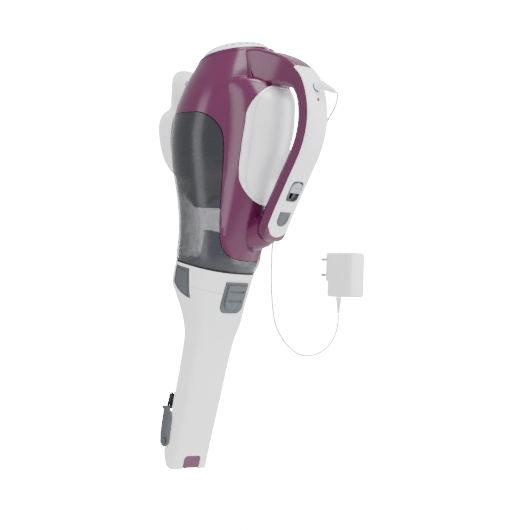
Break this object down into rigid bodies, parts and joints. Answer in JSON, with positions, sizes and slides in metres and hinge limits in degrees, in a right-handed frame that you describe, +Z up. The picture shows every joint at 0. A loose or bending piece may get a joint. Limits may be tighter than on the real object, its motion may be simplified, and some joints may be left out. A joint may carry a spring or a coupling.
{
  "type": "cordless hand vacuum",
  "caption": "Cordless hand vacuum with loop handle, clear dust bowl, slim nozzle with pull-out crevice tube and flip brush, hung on a wall bracket with its plug-in charger.",
  "frame": {"origin": "on the wall, in the middle of the bracket's back face, level with the bracket's widest place", "axes": "+Z up, +Y into the wall (out of the bracket's back face), so the vacuum stands out along -Y and the charger hangs at +X"},
  "size_m": [0.3363, 0.2132, 0.4683],
  "materials": {
    "white_plastic": "satin gloss",
    "purple_plastic": "high gloss",
    "silver_plastic": "pearl silver, glossy",
    "smoke_plastic": "clear smoke grey",
    "grey_plastic": "fine texture",
    "dark_plastic": "matt",
    "soft_rubber": "matt",
    "steel": "bright",
    "cell_wrap": "shrink wrap",
    "filter_paper": "pleated paper",
    "brush_fibre": "stiff fibre",
    "cord_sleeve": "satin",
    "board": "solder mask",
    "red_lens": "clear red"
  },
  "bodies": {
    "bracket": {"wall_bracket": "white_plastic", "bracket_screw_upper": "steel", "bracket_screw_lower": "steel"},
    "hand_unit": {"near_shell": "purple_plastic", "far_shell": "purple_plastic", "shell_screw_1": "steel", "shell_screw_2": "steel", "shell_screw_3": "steel", "rear_trim_ring": "purple_plastic", "under_handle_panel": "silver_plastic", "rear_vent_grille": "white_plastic", "handle_grip_cover": "white_plastic", "switch_tray": "dark_plastic", "micro_switch": "dark_plastic", "charge_led": "red_lens", "charge_jack": "dark_plastic", "motor_can": "steel", "motor_bulkhead": "grey_plastic", "fan_shroud": "dark_plastic", "battery_cell_1": "cell_wrap", "battery_cell_2": "cell_wrap", "battery_cell_3": "cell_wrap", "battery_cell_4": "cell_wrap", "battery_cell_5": "cell_wrap", "battery_cell_6": "cell_wrap", "battery_cell_7": "cell_wrap", "battery_cell_8": "cell_wrap", "battery_holder": "dark_plastic", "circuit_board": "board", "filter_frame": "white_plastic", "pleated_filter": "filter_paper", "pre_filter_cup": "dark_plastic"},
    "slider": {"power_slider": "grey_plastic"},
    "release_button": {"bowl_release_button": "grey_plastic"},
    "fan": {"motor_rotor": "steel", "impeller": "dark_plastic"},
    "bowl": {"dust_bowl": "smoke_plastic", "bowl_seal": "soft_rubber", "nozzle_collar": "white_plastic", "inlet_duct": "smoke_plastic"},
    "flap": {"inlet_flap": "soft_rubber"},
    "nozzle": {"nozzle_shell": "white_plastic", "near_clip_pad": "grey_plastic", "far_clip_pad": "grey_plastic", "near_brush_pin": "grey_plastic", "far_brush_pin": "grey_plastic"},
    "nozzle_latch": {"nozzle_latch_button": "grey_plastic"},
    "crevice": {"crevice_tube": "purple_plastic"},
    "brush": {"brush_frame": "grey_plastic", "brush_bristles": "brush_fibre"},
    "charger": {"charge_plug": "white_plastic", "charger_cord": "cord_sleeve", "charger_adaptor": "white_plastic", "adaptor_pin_upper": "steel", "adaptor_pin_lower": "steel", "cord_strain_relief": "white_plastic"}
  },
  "joints": [
    {"name": "unit_lift", "type": "slide", "parent": "bracket", "child": "hand_unit", "axis": [0, -0.6, 0.8], "range_m": [0, 0.11]},
    {"name": "power_slide", "type": "slide", "parent": "hand_unit", "child": "slider", "axis": [0, 0.4861, -0.8739], "range_m": [0, 0.007]},
    {"name": "bowl_release_press", "type": "slide", "parent": "hand_unit", "child": "release_button", "axis": [0, 0.8962, 0.4436], "range_m": [0, 0.0018], "stiffness_N_per_m": 1500, "springref_m": -0.0008},
    {"name": "fan_spin", "type": "hinge", "parent": "hand_unit", "child": "fan", "pos_m": [0, -0.07519, 0.03], "axis": [0, 0, 1], "continuous": true},
    {"name": "bowl_removal", "type": "slide", "parent": "hand_unit", "child": "bowl", "axis": [0, 0.15, -0.9887], "range_m": [0, 0.11]},
    {"name": "inlet_flap_swing", "type": "hinge", "parent": "bowl", "child": "flap", "pos_m": [0, -0.04187, -0.11317], "axis": [-1, 0, 0], "range_deg": [0, 45]},
    {"name": "nozzle_release", "type": "slide", "parent": "bowl", "child": "nozzle", "axis": [0, 0.2228, -0.9749], "range_m": [0, 0.035]},
    {"name": "nozzle_latch_press", "type": "slide", "parent": "nozzle", "child": "nozzle_latch", "axis": [0, 1, 0], "range_m": [0, 0.0015], "stiffness_N_per_m": 1500, "springref_m": -0.0006},
    {"name": "crevice_extend", "type": "slide", "parent": "nozzle", "child": "crevice", "axis": [0, 0.2228, -0.9749], "range_m": [0, 0.07]},
    {"name": "brush_flip", "type": "hinge", "parent": "nozzle", "child": "brush", "pos_m": [0, -0.011, -0.345], "axis": [-1, 0, 0], "range_deg": [0, 150]},
    {"name": "charger_unplug", "type": "slide", "parent": "hand_unit", "child": "charger", "axis": [0, -0.9464, 0.3229], "range_m": [0, 0.03]}
  ],
  "couplings": [
    {"joint": "bowl_removal", "follows": "unit_lift", "ratio": 1}
  ]
}
